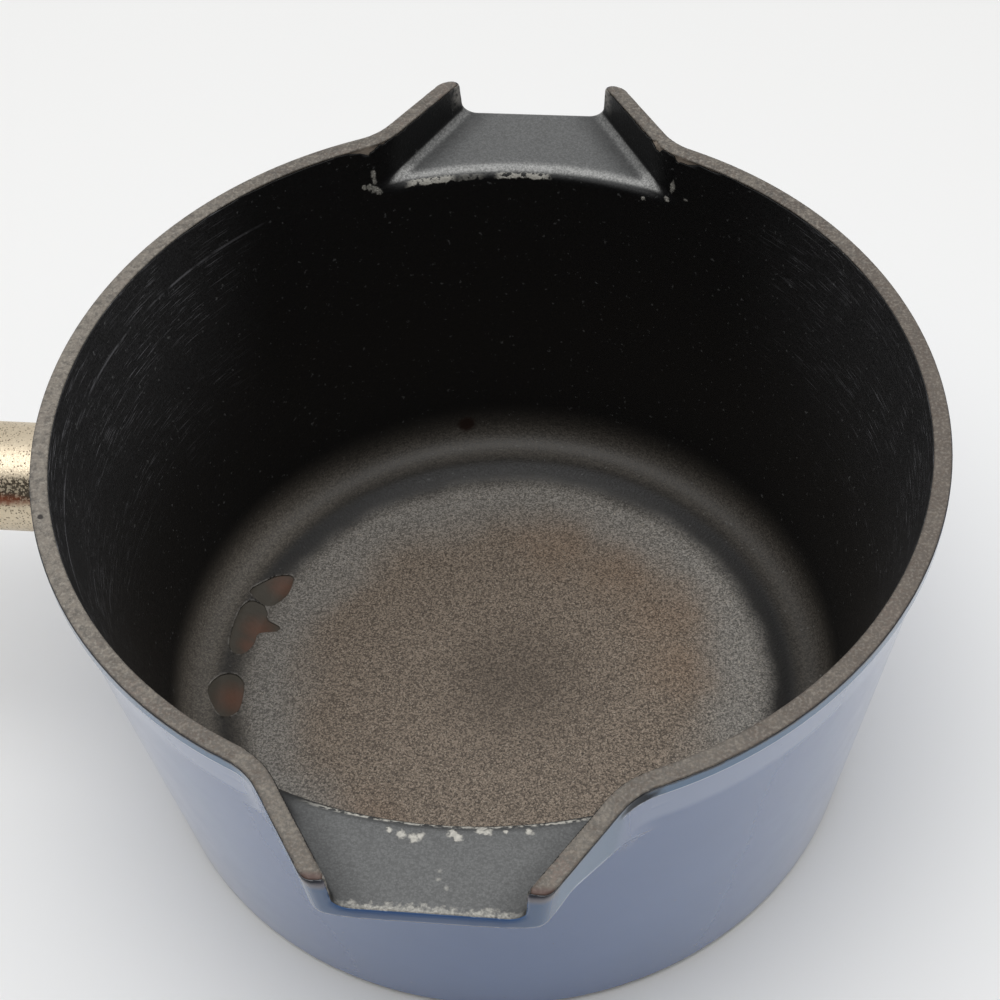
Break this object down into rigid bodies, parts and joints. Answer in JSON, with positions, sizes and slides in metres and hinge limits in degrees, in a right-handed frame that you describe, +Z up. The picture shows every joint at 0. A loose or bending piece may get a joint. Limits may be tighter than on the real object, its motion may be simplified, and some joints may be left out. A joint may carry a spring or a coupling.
{
  "type": "cast iron saucepan",
  "caption": "Round tapered saucepan of enamelled cast iron with a bare ground rim, opposed pouring spouts and a straight plated tube handle with a hanging eye.",
  "frame": {"origin": "centre of the flat base, on the pot's axis", "axes": "+Z up along the pot's axis, the handle runs along -X, the pouring spouts face +Y and -Y"},
  "size_m": [0.3658, 0.2168, 0.102],
  "materials": {
    "bare_iron": "ground and browned",
    "blue_enamel": "gloss enamel",
    "black_enamel": "matt enamel, worn and stained on the floor",
    "nickel_plate": "polished nickel with small pits",
    "plain_steel": "plain zinc grey"
  },
  "bodies": {
    "root": {"pot_casting": "bare_iron", "outer_enamel": "blue_enamel", "inner_enamel": "black_enamel", "seat_washer": "plain_steel", "handle_tube": "nickel_plate", "tie_rod": "plain_steel", "lock_washer": "plain_steel", "jam_nut": "plain_steel", "end_cap": "nickel_plate"}
  },
  "joints": []
}
